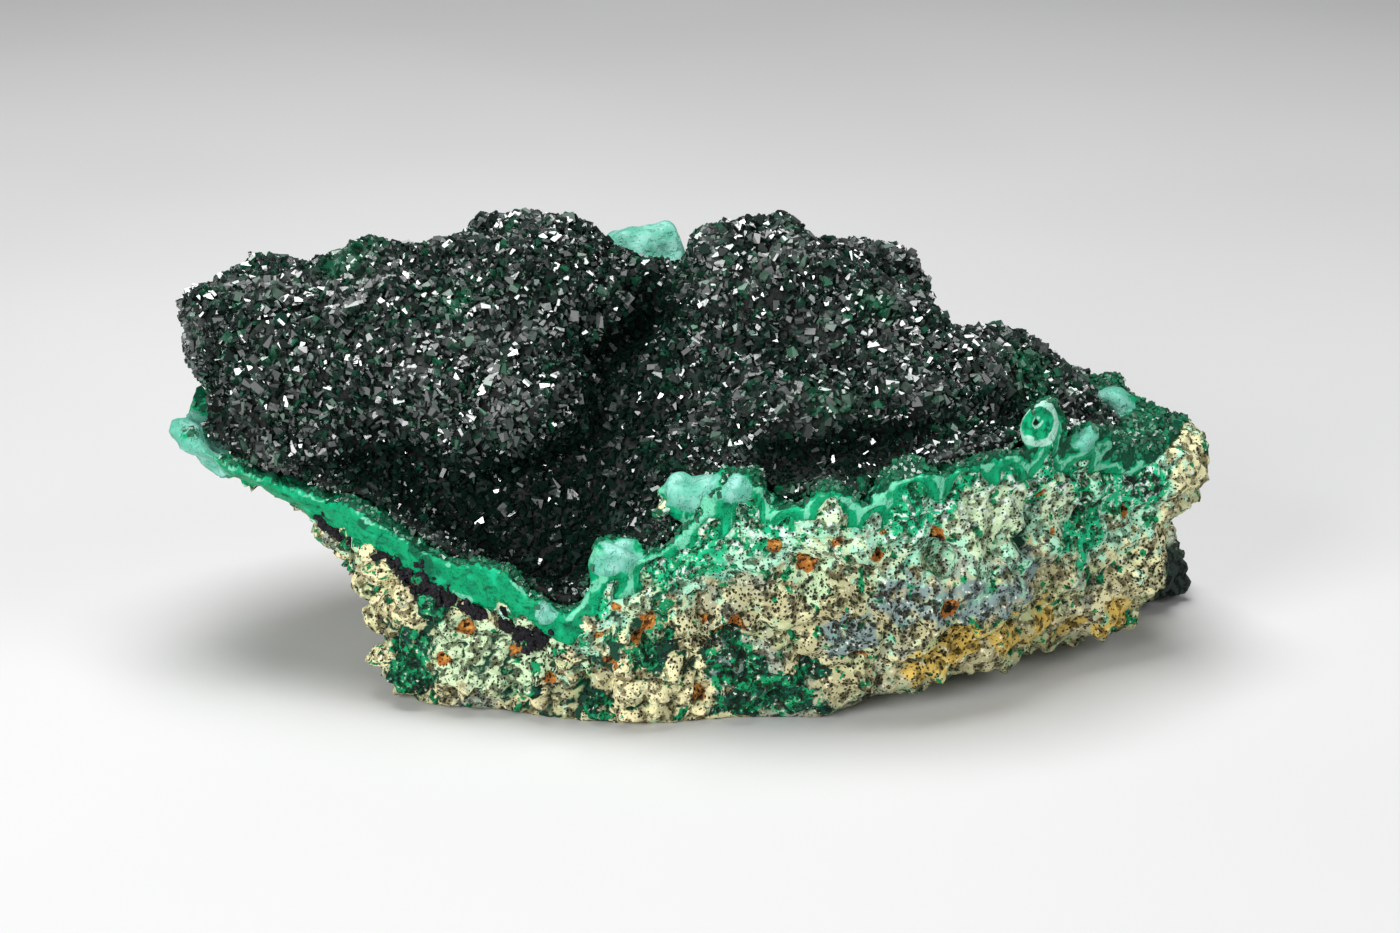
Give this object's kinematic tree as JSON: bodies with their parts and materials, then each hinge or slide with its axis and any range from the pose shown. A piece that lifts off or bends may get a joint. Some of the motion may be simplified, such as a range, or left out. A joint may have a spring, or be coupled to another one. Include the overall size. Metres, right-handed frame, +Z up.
{
  "type": "malachite specimen",
  "caption": "Hand-sized mineral specimen: a porous host rock with a green malachite crust along its top and dark drusy crystal lumps over it. Stands on its flat underside.",
  "frame": {"origin": "on the flat underside, under the middle of the whole specimen's box", "axes": "+X along the length, +Y to the back, +Z up; the broken face with the green band looks along -Y"},
  "size_m": [0.14, 0.0682, 0.0597],
  "materials": {
    "host_rock": "rough porous limonitic rock, tan with green and grey-blue stains",
    "malachite_crust": "satin botryoidal malachite with paler mint skin",
    "crystal_druse": "glassy dark green to black crystal faces"
  },
  "bodies": {
    "root": {"host_rock": "host_rock", "malachite_crust": "malachite_crust", "crystal_druse": "crystal_druse"}
  },
  "joints": []
}
